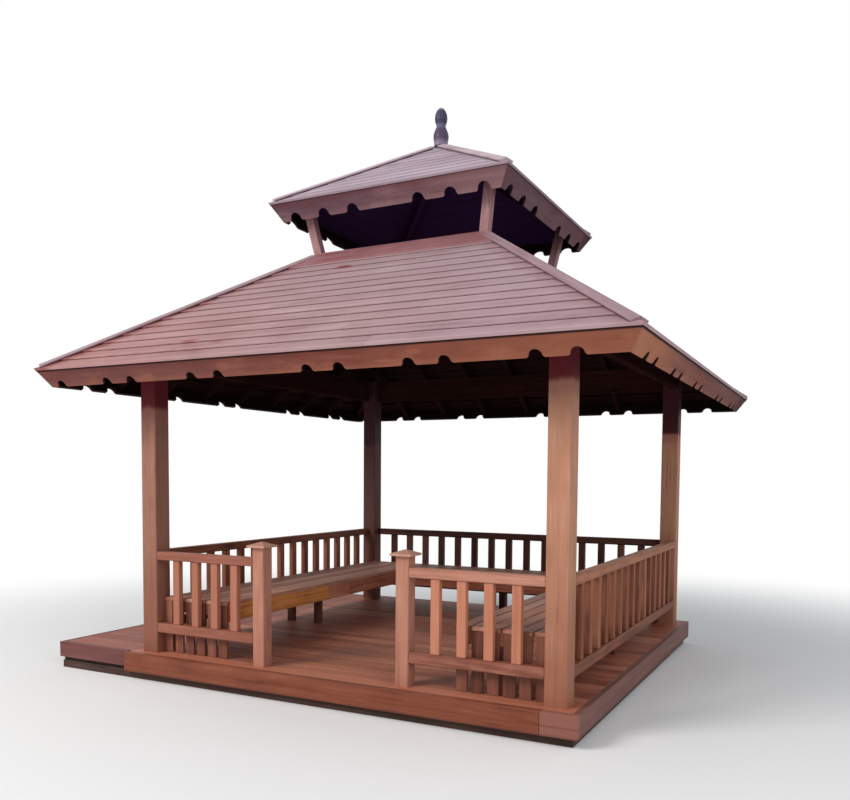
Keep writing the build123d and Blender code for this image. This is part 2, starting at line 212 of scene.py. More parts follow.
class Finish:
    """A material whose nodes are made one after another."""

    def __init__(self, name):
        self.material = bpy.data.materials.new(name)
        self.material.use_nodes = True
        self.tree = self.material.node_tree
        self.tree.nodes.clear()

    def node(self, kind, settings, *values, **sockets):
        """Adds a node: its settings first, then its inputs in order or by name."""
        made = self.tree.nodes.new("ShaderNode" + kind)
        for key, value in settings.items():
            setattr(made, key, value)
        live = [s for s in made.inputs if s.enabled]
        for socket, value in zip(live, values):
            self.fill(socket, value)
        for key, value in sockets.items():
            wanted = key.replace("_", " ")
            self.fill(next(s for s in live if s.name == wanted), value)
        return made

    def fill(self, socket, value):
        """Links a field or a socket to an input, or sets the input's value."""
        if isinstance(value, Field):
            value = value.socket
        if isinstance(value, bpy.types.NodeSocket):
            self.tree.links.new(value, socket)
        elif value is not None:
            socket.default_value = value

    def coordinates(self):
        """Place in the gazebo, as three fields."""
        spot = self.node("TexCoord", {}).outputs["Object"]
        parts = self.node("SeparateXYZ", {}, spot)
        return [Field(self, out) for out in parts.outputs]

    def attribute(self, name):
        """Three numbers stored on a piece's points, as fields."""
        read = self.node("Attribute", {"attribute_name": name})
        parts = self.node("SeparateXYZ", {}, read.outputs["Vector"])
        return [Field(self, out) for out in parts.outputs]

    def spot(self, x, y, z):
        """One vector from three fields."""
        return self.node("CombineXYZ", {}, x, y, z).outputs[0]

    def noise(self, x, y, z, detail=2.0, roughness=0.5):
        """Soft noise at a place that is already scaled."""
        made = self.node("TexNoise", {}, Vector=self.spot(x, y, z), Scale=1.0, Detail=detail,
                         Roughness=roughness)
        return Field(self, made.outputs["Fac"])

    def cells(self, x, y, z):
        """Distance to the nearest knot and a number that belongs to it."""
        made = self.node("TexVoronoi", {}, Vector=self.spot(x, y, z), Scale=1.0)
        parts = self.node("SeparateColor", {}, made.outputs["Color"])
        return Field(self, made.outputs["Distance"]), Field(self, parts.outputs[0])

    def ramp(self, value, low, high, to_low=0.0, to_high=1.0):
        """Smooth step from one value to another; low may lie above high."""
        settings = {"interpolation_type": "SMOOTHSTEP", "clamp": True}
        made = self.node("MapRange", settings, Value=value, From_Min=low, From_Max=high,
                         To_Min=to_low, To_Max=to_high)
        return Field(self, made.outputs["Result"])

    def pick(self, factor, first, second):
        """First where the factor is 0, second where it is 1."""
        return first + (second - first) * factor

    def blend(self, factor, first, second):
        """First colour where the factor is 0, second where it is 1."""
        made = self.node("Mix", {"data_type": "RGBA"}, Factor=factor, A=first, B=second)
        return next(s for s in made.outputs if s.enabled)

    def layers(self, colour, coats):
        """The colour after coats one over another, each a mask and a tone."""
        for mask, tone in coats:
            colour = self.blend(mask, colour, tone)
        return colour

    def surface(self, colour, roughness, height, strength, depth, specular):
        """Ends the material with a bump and a shader."""
        bump = self.node("Bump", {}, Strength=strength, Distance=depth, Height=height)
        shader = self.node("BsdfPrincipled", {}, Base_Color=colour, Roughness=roughness,
                           Specular_IOR_Level=specular, Normal=bump.outputs["Normal"])
        self.node("OutputMaterial", {}, Surface=shader.outputs[0])
        return self.material


# Timber finishes

# Factors for distances square to a hip, along it and down it
half_root_two = 0.7071
hip_reach = 0.85
hip_fall = 0.48


class Grain:
    """Places in a member: along, across and through its fibres, and in the gazebo.

    A board's own tone and its distances from its lower or front edge and its underside are stored in it.
    Other members run along x or z, along a hip, along their side of the gazebo or, as rafters, square to it.
    """

    def __init__(self, wood, run):
        x, y, z = wood.coordinates()
        self.wood = wood
        self.x, self.y, self.z = x, y, z
        if run == "board":
            self.along, self.across, self.through = wood.attribute("grain")
            self.own, self.from_edge, self.from_under = wood.attribute("tone")
            return
        axes = {"x": (x, y, z), "z": (z, x, y)}
        if run in axes:
            self.along, self.across, self.through = axes[run]
        elif run == "hips":
            self.along = (abs(x) + abs(y)) * hip_reach
            self.across = (abs(x) - abs(y)) * half_root_two
            self.through = z + self.along * hip_fall
        else:
            flank = abs(x) > abs(y)
            if run == "platform":
                flank = abs(y) < platform_rim_corner
            if run == "rafters":
                flank = 1 - flank
            self.along = wood.pick(flank, x, y)
            self.across = wood.pick(flank, y, x)
            self.through = z
        self.own = wood.noise(self.across * 2.1, self.through * 2.1, self.along * 0.3, detail=0.0)

    def streaks(self, along, across, **kind):
        """Noise drawn out along the fibres, given its scale along and across them."""
        return self.wood.noise(self.along * along, self.across * across, self.through * across, **kind)

    def patches(self, level, rise, **kind):
        """Noise in the gazebo, given its scale on the level and upwards."""
        return self.wood.noise(self.x * level, self.y * level, self.z * rise, **kind)


def timber(name, run, deep, body, light, spread=0.3, figure=1.0, knots=0.7, gloss=0.55, specular=0.2,
           marks=()):
    """Stained timber with fibres, growth rings, knots, fine splits and an uneven coat."""
    wood = Finish(name)
    grain = Grain(wood, run)
    reach, lot = wood.cells(grain.along * 1.7, grain.across * 7.0, grain.through * 7.0)
    rare = lot > 0.84
    knot = wood.ramp(reach, 0.15, 0.06) * rare
    halo = wood.ramp(reach, 0.45, 0.1) * rare
    bend = grain.streaks(0.4, 4.2, detail=1.0)
    rings = (bend * 70.0 + halo * 5.0).sine() * 0.5 + 0.5
    fine = grain.streaks(4.0, 170.0, detail=3.0, roughness=0.6)
    streak = grain.streaks(0.8, 30.0, detail=3.0)
    coat = grain.patches(2.3, 2.3, detail=4.0, roughness=0.6)
    split = wood.ramp(grain.streaks(1.6, 75.0, detail=1.0), 0.73, 0.78)
    level = 0.5 + (streak - 0.5) * 0.6 + (fine - 0.5) * 0.75 + (rings - 0.5) * 0.13 * figure
    level = level + (grain.own - 0.5) * spread + (coat - 0.5) * 0.7
    dark = tuple(c * 0.35 for c in deep[:3]) + (1.0,)
    colour = wood.blend(wood.ramp(level, 0.1, 0.5), deep, body)
    colour = wood.layers(colour, [
        (wood.ramp(level, 0.5, 0.92), light),
        ((knot * 0.8 + halo * 0.25) * knots, dark),
        (split * 0.7, dark),
    ])
    height = fine * 0.5 + rings * 0.2 + streak * 0.5 - knot * 0.4 - split * 1.5
    for mark in marks:
        colour, height = mark(wood, grain, colour, height)
    shine = wood.ramp(fine * 0.5 + coat * 0.5, 0.3, 0.7, gloss - 0.1, gloss + 0.14)
    return wood.surface(colour, shine, height, 0.4, 0.0022, specular)


# Marks on the timbers: each takes and gives back a colour and a height

def course_edge(wood, grain, colour, height):
    """Lower roof boards: pale worn feet, redder on the left and by the hips, red stains, a painted sky sheen
    greyer at the top and mauve to the right, and painted shade on the undersides and overlaps.
    """
    left = wood.ramp(grain.x, 0.6, -2.2)
    ragged = grain.streaks(2.6, 18.0, detail=3.0)
    to_hip = abs(abs(grain.x) - abs(grain.y)) * half_root_two
    damp = wood.ramp(to_hip - ragged * 0.16, 0.07, 0.0) * (0.2 + left * 0.5)
    stains = []
    for x, y, length, width in roof_stains:
        dx, dy = (grain.x - x) / length, (grain.y - y) / width
        stains.append((wood.ramp(dx * dx + dy * dy + ragged * 3.0, 2.4, 1.6) * 0.8, stain_red))
    # Painted shade: the undersides and the laps under the next board are darkened
    shaded_underside_and_laps = (grain.from_under < lower_underside).larger(grain.from_edge > lower_overlap)
    return wood.layers(colour, [
        (wood.ramp(grain.from_edge, 0.03, 0.006) * 0.35, worn_foot),
        (left * 0.5, roof_left),
        # Painted sky sheen: greyer towards the top and mauve towards the right
        (wood.ramp(grain.z, 2.6, 3.2) * 0.35, roof_top_sky_sheen),
        (wood.ramp(grain.x, 0.3, 1.6) * 0.3, roof_right_sky_sheen),
        (wood.ramp(ragged, 0.63, 0.72) * left * 0.6, streak_red),
        (damp, damp_red),
        *stains,
        (shaded_underside_and_laps, roof_underside_shade),
    ]), height


def groove_edge(wood, grain, colour, height):
    """Upper roof boards: grey patches, thin grooves and painted dark mauve shade on the undersides and
    overlaps.
    """
    grey = grain.patches(1.3, 4.0, detail=4.0)
    overlap = (grain.from_edge > upper_overlap) * (grain.z < last_course_level)
    return wood.layers(colour, [
        (wood.ramp(grey, 0.45, 0.7) * 0.5, roof_patch_grey),
        ((grain.from_edge < groove_width) * 0.45, groove_grey),
        # Painted shade on the undersides and the laps under the next board
        ((grain.from_under < upper_underside).larger(overlap), loft_underside_shade),
    ]), height


def cap_edge(wood, grain, colour, height):
    """Hip caps: outer edges that darken towards the boards below."""
    middle = (cap_width + 2 * cap_board) / 2
    edge = abs(grain.from_edge - middle) > middle - cap_side
    return wood.blend(edge * wood.ramp(grain.from_under, 0.013, 0.005) * 0.9, colour, cap_shadow), height


def fascia_face(eave, slope, half, tones, right_reach, eave_shadow):
    """Fascias of one roof: a painted shadow line at the eave, blotches, a paler foot, a tone for each side,
    the lower fascia's right side lifted as painted light, painted sunlight by the front right corner, and
    painted shade at the far right end and on the backs.
    """
    def paint(wood, grain, colour, height):
        drop = eave - grain.z
        blotch = grain.patches(2.6, 9.0, detail=5.0, roughness=0.6)
        brushed = wood.noise(grain.along * 70.0, grain.across * 5.0, grain.z * 6.0, detail=2.0)
        from_mitre = grain.x + grain.y
        on_right = (from_mitre > 0.0) * (grain.x > 0.5 * half)
        near = wood.ramp(grain.y, right_reach * half, -0.95 * half)
        smear = wood.ramp(from_mitre + blotch * 0.12, 0.15, 0.02) * on_right
        duller = wood.ramp(grain.y, -0.6 * half, 0.7 * half) * (grain.x > 0.9 * half - slope * drop)
        shaded = wood.ramp(grain.y, 0.76 * half, 0.9 * half) * (grain.x > 0.5 * half)
        face = abs(grain.x).larger(abs(grain.y)) + slope * drop
        return wood.layers(colour, [
            (wood.ramp(grain.x, 0.5 * half, -0.8 * half) * 0.75, tones["left"]),
            (wood.ramp(blotch, 0.5, 0.68) * 0.45, tones["foot"]),
            (wood.ramp(blotch, 0.46, 0.3) * 0.5, blotch_brown),
            (wood.ramp(drop, 0.05, 0.0) * 0.45, eave_brown),
            (wood.ramp(drop, 0.07, 0.125) * 0.35, tones["foot"]),
            (wood.ramp(brushed, 0.55, 0.8) * 0.25, brush_brown),
            # Painted sunlight: a warmer tone towards the front right corner
            (wood.ramp(grain.x - grain.y, 1.1 * half, 1.9 * half) * 0.35, tones["corner"]),
            # On the lower fascia this right side tone is lighter and warmer, painted light on a side the
            # lamps leave in shade
            (on_right * near * 0.5, tones["right"]),
            (smear * 0.55, mitre_brown),
            (duller * 0.4, dull_brown),
            (shaded * 0.85, shade_crimson),
            # Painted shadow line at the top of the fascia, under the roof boards' edge
            (wood.ramp(drop, 0.009, 0.004) * eave_shadow, eave_shadow_dark),
            # Painted shade on every face set back from the outer face: inner faces, foot and notch cuts
            (wood.ramp(face, half - back_start, half - back_full), fascia_back_shade),
        ]), height
    return paint


def under_roof(wood, grain, colour, height):
    """Posts: crimson heads, stain and painted eave shadow together, a pinkish band of painted half-shade
    below them, darker feet; painted shade darkens the back heads and all of the back left post.
    """
    left, back = grain.x < 0.0, grain.y > 0.0
    ragged = grain.patches(9.0, 3.0, detail=3.0) * 0.09
    above = grain.z + ragged - post_head_level + left * 0.07 + back * 0.17
    head = wood.ramp(above, -0.02, 0.03)
    return wood.layers(colour, [
        (left * 0.5, post_left_brown),
        # Painted eave shadow on the heads with painted half-shade at its edge, and painted shade on the back
        # posts
        (wood.ramp(above, -0.12, -0.06) * 0.6, post_half_shade_pink),
        (head * 0.94, post_head_crimson_and_shade),
        (head * back * 0.8, back_head_shade),
        (left * back * 0.75, back_left_shade),
        (wood.ramp(grain.z, 1.4, 0.25) * 0.5, post_foot_brown),
    ]), height


def rim_joints(wood, grain, colour, height):
    """Front rim: a butt joint near the right corner, a greyer board past it, a brown vein, a dirty foot."""
    line = wood.ramp(abs(grain.x - rim_joint), *joint_width)
    wave = wood.noise(grain.x * 1.1, grain.y * 2.0, 3.7, detail=2.0) * 0.09 + 0.075
    return wood.layers(colour, [
        ((grain.x > rim_joint) * 0.55, corner_grey),
        (wood.ramp(abs(grain.z - wave), 0.009, 0.001) * 0.5, vein_brown),
        (line * 0.85, joint_dark),
        (wood.ramp(grain.z, 0.08, 0.06) * 0.5, front_dirt),
    ]), height - line * 2.0


def side_joints(wood, grain, colour, height):
    """Side rims: one butt joint and a dirty lower edge."""
    line = wood.ramp(abs(grain.along - side_joint), *joint_width)
    return wood.layers(colour, [
        (line * 0.85, joint_dark),
        (wood.ramp(grain.z, 0.09, 0.06) * 0.5, side_dirt),
    ]), height - line * 2.0


def deck_screws(wood, grain, colour, height):
    """Decking: screws over each joist, a walked path, a paler front edge and a redder platform."""
    over = abs((grain.x / joist_pitch + 0.5).part() - 0.5) * joist_pitch
    beside = abs(abs(grain.from_edge - screw_line) - screw_spread)
    reach = (over * over + beside * beside).power(0.5)
    head = wood.ramp(reach, *screw_edge)
    walked = wood.ramp(abs(grain.x), 0.75, 0.2) * wood.ramp(grain.y, 0.6, -1.4)
    return wood.layers(colour, [
        (head * 0.8, screw_dark),
        (walked * 0.35, walked_brown),
        (wood.ramp(grain.y, -1.35, -1.75) * 0.4, deck_edge_pale),
        ((grain.x < platform_inner) * 0.5, platform_red),
    ]), height - head * 1.5


def trim_stain(wood, grain, colour, height):
    """Trim under the opening: red stains that fade out towards the right."""
    ragged = grain.streaks(3.0, 14.0, detail=4.0)
    stain = wood.ramp(ragged, 0.5, 0.64) * wood.ramp(grain.x, 0.3, -0.5)
    return wood.blend(stain * 0.6, colour, trim_red), height


def loft_shade(wood, grain, colour, height):
    """Hip rafters: painted plum shade in the upper roof."""
    # Painted shade: plum brown above the loft level
    return wood.blend((grain.z > loft_level) * 0.85, colour, loft_shade_plum), height


def front_bars(wood, grain, colour, height):
    """Front railings: balusters between the rails lifted with painted light, duller on the left."""
    between = (grain.z > rail_foot_top) * (grain.z < rail_head_under)
    return wood.layers(colour, [
        # Painted light on the balusters, which sit in the top rail's shadow
        (between * 0.4, baluster_painted_light),
        ((grain.x < 0.0) * 0.55, rail_left_dull),
    ]), height


def cap_painted_highlight(wood, grain, colour, height):
    """Newels: caps painted paler than the newels under them, a painted highlight on their tops."""
    # Painted highlight on the newel caps
    return wood.blend((grain.z > newel_top) * 0.45, colour, newel_cap_highlight), height


def strut_head(wood, grain, colour, height):
    """Corner struts: darker at the head."""
    return wood.blend(wood.ramp(grain.z, *strut_head_levels) * 0.6, colour, strut_head_brown), height


def turned_bands(wood, grain, colour, height):
    """Turned finial: tool rings, plum below the neck, worn pale at the neck, the foot and the tip."""
    rings = wood.noise(0.0, 0.0, grain.z * 260.0, detail=2.0)
    return wood.layers(colour, [
        (wood.ramp(grain.z, 4.67, 4.62) * 0.6, finial_plum),
        (wood.ramp(abs(grain.z - finial_neck), 0.035, 0.005) * 0.6, finial_neck_grey),
        (wood.ramp(grain.z, 4.55, 4.49) * 0.75, finial_foot_mauve),
        (wood.ramp(grain.z, 4.765, 4.8) * 0.6, finial_tip_pale),
    ]), height + rings * 0.5


# Tones of wear, stains and dirt, and of painted shade, painted light and painted sky sheen

worn_foot = tint(200, 166, 164)
roof_left = tint(176, 122, 114)
roof_top_sky_sheen = tint(160, 142, 150)
roof_right_sky_sheen = tint(168, 148, 162)
streak_red = tint(146, 82, 78)
damp_red = tint(130, 66, 68)
stain_red = tint(144, 74, 74)
trim_red = tint(138, 70, 70)
roof_underside_shade = tint(40, 20, 20)
roof_patch_grey = tint(158, 140, 152)
groove_grey = tint(132, 106, 114)
loft_underside_shade = tint(46, 24, 58)
loft_shade_plum = tint(50, 28, 60)
cap_shadow = tint(70, 30, 36)
blotch_brown = tint(104, 54, 46)
eave_brown = tint(98, 46, 42)
brush_brown = tint(96, 52, 46)
mitre_brown = tint(104, 54, 44)
dull_brown = tint(98, 58, 60)
shade_crimson = tint(66, 24, 34)
eave_shadow_dark = tint(40, 18, 20)
fascia_back_shade = tint(36, 20, 20)
post_left_brown = tint(122, 86, 82)
post_half_shade_pink = tint(158, 98, 90)
post_head_crimson_and_shade = tint(98, 20, 34)
back_head_shade = tint(50, 24, 28)
back_left_shade = tint(70, 40, 44)
post_foot_brown = tint(126, 68, 46)
corner_grey = tint(150, 104, 94)
vein_brown = tint(112, 54, 34)
joint_dark = tint(46, 22, 18)
front_dirt = tint(70, 42, 36)
side_dirt = tint(70, 46, 42)
screw_dark = tint(44, 30, 28)
walked_brown = tint(178, 116, 90)
deck_edge_pale = tint(194, 120, 92)
platform_red = tint(120, 62, 58)
baluster_painted_light = tint(222, 146, 110)
rail_left_dull = tint(150, 92, 74)
newel_cap_highlight = tint(210, 164, 148)
strut_head_brown = tint(86, 52, 56)
finial_plum = tint(86, 68, 94)
finial_neck_grey = tint(116, 110, 134)
finial_foot_mauve = tint(144, 126, 148)
finial_tip_pale = tint(166, 164, 182)


# Materials: the deep, middle and light tone of each timber

# The roof boards' mauve and bluish tones, lower and upper, are a painted sky sheen over a reddish stain
roof_wood = timber(
    "roof_board_sheen_and_stain", "board", tint(130, 101, 104), tint(170, 141, 144), tint(194, 171, 176),
    spread=0.22, figure=0.6, gloss=0.7, specular=0.03, marks=[course_edge])
upper_roof_wood = timber(
    "upper_roof_board_sheen_and_stain", "board", tint(146, 126, 138), tint(182, 165, 177), tint(202, 187, 200),
    spread=0.25, figure=0.5, gloss=0.68, specular=0.03, marks=[groove_edge])
trim_wood = timber(
    "roof_trim_stain", "board", tint(108, 64, 68), tint(148, 100, 104), tint(172, 130, 136),
    spread=0.25, marks=[trim_stain])
cap_wood = timber(
    "hip_cap_stain", "board", tint(122, 92, 96), tint(154, 126, 133), tint(178, 154, 163),
    spread=0.25, marks=[cap_edge])
upper_cap_wood = timber(
    "upper_hip_cap_stain", "board", tint(148, 124, 132), tint(188, 168, 176), tint(210, 192, 200),
    spread=0.25, marks=[cap_edge])
# The corner tones are painted sunlight; the lower right tone is painted light
lower_fascia_tones = {
    "left": tint(104, 64, 64), "foot": tint(162, 102, 80),
    "corner": tint(172, 110, 80), "right": tint(186, 118, 82),
}
lower_face = fascia_face(eave_height, lower_slope, eave_half, lower_fascia_tones, right_reach=-0.4, eave_shadow=0.85)
fascia_wood = timber(
    "fascia_stain", "sides", tint(92, 44, 36), tint(126, 69, 56), tint(150, 91, 75),
    spread=0.2, specular=0.12, marks=[lower_face])
# The corner tone is painted sunlight
upper_fascia_tones = {
    "left": tint(90, 62, 74), "foot": tint(150, 116, 116),
    "corner": tint(152, 118, 116), "right": tint(64, 46, 64),
}
upper_face = fascia_face(upper_height, upper_slope, upper_half, upper_fascia_tones, right_reach=1.6, eave_shadow=0.3)
upper_fascia_wood = timber(
    "upper_fascia_stain", "sides", tint(86, 58, 66), tint(116, 84, 91), tint(142, 110, 116),
    spread=0.2, specular=0.12, marks=[upper_face])
post_wood = timber(
    "post_stain", "z", tint(142, 90, 68), tint(178, 126, 101), tint(200, 150, 124),
    spread=0.2, figure=0.7, specular=0.14, marks=[under_roof])
newel_wood = timber(
    "newel_stain", "z", tint(144, 90, 72), tint(180, 124, 103), tint(202, 150, 128),
    spread=0.2, marks=[cap_painted_highlight])
strut_wood = timber(
    "strut_stain", "z", tint(118, 80, 80), tint(156, 114, 116), tint(184, 146, 148), marks=[strut_head])
rail_wood = timber(
    "rail_stain", "board", tint(124, 72, 57), tint(166, 108, 89), tint(194, 140, 119),
    spread=0.5, marks=[front_bars])
# Side railings are darker than the front ones, partly stain and partly painted shade; the back railing's dark
# tones are painted shade
side_rail_wood = timber(
    "side_rail_shade_and_stain", "board", tint(100, 54, 38), tint(140, 84, 60), tint(170, 112, 84), spread=0.5)
back_rail_wood = timber(
    "back_rail_shade_and_stain", "board", tint(60, 32, 28), tint(92, 54, 46), tint(122, 78, 66), spread=0.5)
# Timbers under the roof: very dark tones, a dark stain with painted shade
beam_wood = timber(
    "beam_shade_and_stain", "sides", tint(28, 14, 14), tint(46, 24, 22), tint(64, 37, 34), specular=0.0)
curb_wood = timber(
    "curb_shade_and_stain", "sides", tint(32, 18, 28), tint(50, 28, 40), tint(68, 42, 52), specular=0.0)
rafter_wood = timber(
    "rafter_stain", "rafters", tint(26, 13, 14), tint(42, 22, 22), tint(60, 35, 33), specular=0.0)
hip_wood = timber(
    "hip_rafter_shade_and_stain", "hips", tint(26, 13, 16), tint(42, 22, 25), tint(60, 35, 37),
    specular=0.0, marks=[loft_shade])
deck_wood = timber(
    "deck_board_stain", "board", tint(120, 68, 52), tint(168, 100, 77), tint(194, 130, 104),
    spread=0.5, marks=[deck_screws])
front_rim_wood = timber(
    "front_rim_stain", "x", tint(92, 46, 30), tint(128, 70, 50), tint(154, 94, 70),
    spread=0.2, marks=[rim_joints])
rim_wood = timber(
    "rim_stain", "sides", tint(88, 54, 48), tint(120, 80, 72), tint(146, 104, 94),
    spread=0.2, marks=[side_joints])
platform_wood = timber(
    "platform_rim_stain", "platform", tint(84, 47, 45), tint(112, 68, 65), tint(134, 90, 84))
seat_wood = timber(
    "seat_stain", "board", tint(128, 78, 62), tint(178, 120, 99), tint(204, 150, 128),
    spread=0.6, specular=0.22)
bench_wood = timber(
    "bench_stain", "board", tint(124, 68, 52), tint(178, 108, 84), tint(204, 138, 112), spread=0.5)
honey_wood = timber("bench_honey_stain", "board", tint(172, 104, 52), tint(222, 148, 82), tint(238, 176, 112))
end_wood = timber(
    "bench_end_stain", "board", tint(90, 52, 40), tint(128, 78, 62), tint(154, 102, 86), spread=0.6)
# Bench legs: darker than the benches, partly painted shade
leg_wood = timber("bench_leg_shade_and_stain", "z", tint(64, 36, 28), tint(96, 58, 46), tint(120, 80, 66))
# Sleepers: dark brown, partly painted shade in the recess under the rims
base_wood = timber(
    "sleeper_brown_and_shade", "x", tint(44, 32, 28), tint(74, 55, 49), tint(102, 80, 72), spread=0.3, specular=0.1)
# Packing strips: near black, painted shade in the gap under the platform's rim
packing_shade_wood = timber(
    "packing_painted_shade", "board", tint(20, 14, 13), tint(34, 25, 23), tint(52, 40, 37), specular=0.1)
finial_wood = timber(
    "finial_stain", "z", tint(42, 38, 54), tint(66, 61, 84), tint(100, 92, 118),
    knots=0.0, gloss=0.42, marks=[turned_bands])

finishes = (
    (base_wood, ["base_sill", "floor_joists"]),
    (front_rim_wood, ["front_rim_board"]),
    (rim_wood, ["deck_rim"]),
    (platform_wood, ["side_deck_rim"]),
    (post_wood, ["front_left_post", "front_right_post", "back_left_post", "back_right_post"]),
    (newel_wood, ["left_newel", "right_newel", "newel_caps"]),
    (leg_wood, ["bench_legs"]),
    (beam_wood, ["header_beams"]),
    (curb_wood, ["roof_curb"]),
    (rafter_wood, ["jack_rafters"]),
    (hip_wood, ["hip_rafters", "upper_hip_rafters"]),
    (fascia_wood, ["lower_fascia_front", "lower_fascia_right", "lower_fascia_back", "lower_fascia_left"]),
    (upper_fascia_wood, ["upper_fascia"]),
    (strut_wood, ["corner_struts"]),
    (finial_wood, ["finial"]),
)
for material, names in finishes:
    for name in names:
        nodes[name].material_slots[0].material = material


# Boards made by hand

def clear_choice():
    """Leaves edit mode and selects nothing."""
    if bpy.context.object and bpy.context.object.mode != "OBJECT":
        bpy.ops.object.mode_set(mode="OBJECT")
    bpy.ops.object.select_all(action="DESELECT")


def cut(plane_co, plane_no):
    """Trims the board in edit mode and keeps the side that the normal points away from."""
    bpy.ops.object.mode_set(mode="EDIT")
    bpy.ops.mesh.select_all(action="SELECT")
    bpy.ops.mesh.bisect(plane_co=plane_co, plane_no=plane_no, use_fill=True, clear_outer=True)
    bpy.ops.object.mode_set(mode="OBJECT")


def ease(board, width):
    """Eases the board's sharp edges and applies it."""
    bevel = board.modifiers.new("eased", "BEVEL")
    bevel.width = width
    bevel.segments = 1
    bevel.limit_method = "ANGLE"
    bevel.angle_limit = math.radians(sharp_angle)
    bpy.ops.object.modifier_apply(modifier=bevel.name)


def board(name, size, place, cuts=(), edge=eased_edge):
    """Sawn board with its length along its own x: put in place, cut by planes, eased, given its fibres."""
    clear_choice()
    bpy.ops.mesh.primitive_cube_add(size=1, location=(0, 0, 0), scale=size)
    made = bpy.context.active_object
    made.name = name
    bpy.ops.object.transform_apply(location=False, rotation=False, scale=True)
    made.matrix_world = place
    bpy.ops.object.transform_apply(location=True, rotation=True, scale=True)
    for plane_co, plane_no in cuts:
        cut(plane_co, plane_no)
    ease(made, edge)
    give_fibres(made, size, place)
    return made


def give_fibres(made, size, place):
    """Stores each point's place in the fibres, shifted at random, its board's tone and its edge distances."""
    mesh = made.data
    spots = np.empty(len(mesh.vertices) * 3)
    mesh.vertices.foreach_get("co", spots)
    spots = spots.reshape(-1, 3)
    back = np.array(place.inverted())
    own = spots @ back[:3, :3].T + back[:3, 3]
    shift = [dice.uniform(-fibre_shift, fibre_shift) for _ in range(3)]
    grain = mesh.attributes.new("grain", "FLOAT_VECTOR", "POINT")
    grain.data.foreach_set("vector", (own + shift).astype(np.float32).ravel())
    level = np.full(len(own), dice.random())
    values = np.stack([level, own[:, 1] + size[1] / 2, own[:, 2] + size[2] / 2], axis=1)
    tone = mesh.attributes.new("tone", "FLOAT_VECTOR", "POINT")
    tone.data.foreach_set("vector", values.astype(np.float32).ravel())


def gather(name, boards, material, slot, *replaced):
    """Joins boards to one piece that rides on the gazebo."""
    clear_choice()
    for each in boards:
        each.select_set(True)
    bpy.context.view_layer.objects.active = boards[0]
    if len(boards) > 1:
        bpy.ops.object.join()
    piece = bpy.context.active_object
    piece.name = name
    piece.data.name = name
    piece.data.materials.clear()
    piece.data.materials.append(material)
    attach(piece, "root")
    if replaced:
        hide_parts(*replaced)
    return piece


def turned(turn):
    """Turn about the upright axis, in degrees."""
    return Matrix.Rotation(math.radians(turn), 4, "Z")


upright = Matrix.Rotation(math.radians(-90), 4, "Y")


# Roof boards

def slope_place(half, height, slope, turn, up, lift, tilt=0.0):
    """Place in one roof slope: x along the eave, y up the slope, z square to it."""
    eave = Matrix.Translation((0, -half, height))
    pitch = Matrix.Rotation(math.atan(slope), 4, "X")
    return turned(turn) @ eave @ pitch @ Matrix.Translation((0, up, lift)) @ Matrix.Rotation(tilt, 4, "X")


def hip_cuts(turn):
    """Upright planes on the two hips beside a slope; normals point away from the slope."""
    planes = []
    for side in (-1, 1):
        normal = turned(turn) @ Vector((side, 1, 0))
        planes.append(((0, 0, 0), tuple(normal.normalized())))
    return planes


def courses(half, height, slope, turn, butts, top, kind, joints):
    """Lapped boards of one slope, each foot proud of the board below; the eave board rests on the fascia."""
    made = []
    for i, butt in enumerate(butts):
        head = min(butts[i + 1] + course_lap, top) if i + 1 < len(butts) else top
        width = head - butt
        tilt = -math.asin(kind["fall"] / width)
        span = half - butt * math.cos(math.atan(slope)) + course_lap
        face = kind["lift"] + kind["thick"] / 2
        thick = kind["thick"] if i else face - course_bed
        breaks = [-span, *joints.get(i, ()), span]
        for left, right in zip(breaks[:-1], breaks[1:]):
            place = slope_place(half, height, slope, turn, butt, face - thick / 2, tilt)
            place = place @ Matrix.Translation(((left + right) / 2, width / 2, 0))
            size = (right - left - butt_joint, width, thick)
            made.append(board("course", size, place, hip_cuts(turn), thin_eased_edge))
    return made


lower_top = (eave_half - opening_half) * math.hypot(1, lower_slope)
lower_joints = {
    "front": {0: (0.62,), 1: (-0.9,), 2: (0.35,), 3: (-0.3,), 4: (0.8,), 6: (-0.55,)},
    "right": {0: (-0.5,), 1: (0.7,), 3: (-0.8,), 4: (0.2,), 5: (-0.4,)},
    "back": {0: (0.4,), 2: (-0.6,), 3: (0.5,), 5: (-0.2,)},
    "left": {0: (-0.7,), 1: (0.3,), 2: (-0.2,), 4: (0.6,)},
}
for side, turn in turns.items():
    boards = courses(eave_half, eave_height, lower_slope, turn, lower_butts, lower_top, lower_course,
                     lower_joints[side])
    gather(f"lower_{side}_boards", boards, roof_wood, "roof_boards", f"lower_roof_{side}")

upper_butts = [first_butt + upper_pitch * i for i in range(upper_courses)]
upper_top = (upper_half - king_clear) * math.hypot(1, upper_slope)
upper_boards = []
for turn in turns.values():
    upper_boards += courses(upper_half, upper_height, upper_slope, turn, upper_butts, upper_top,
                            upper_course, {})
gather("upper_boards", upper_boards, upper_roof_wood, "roof_boards", "upper_roof")


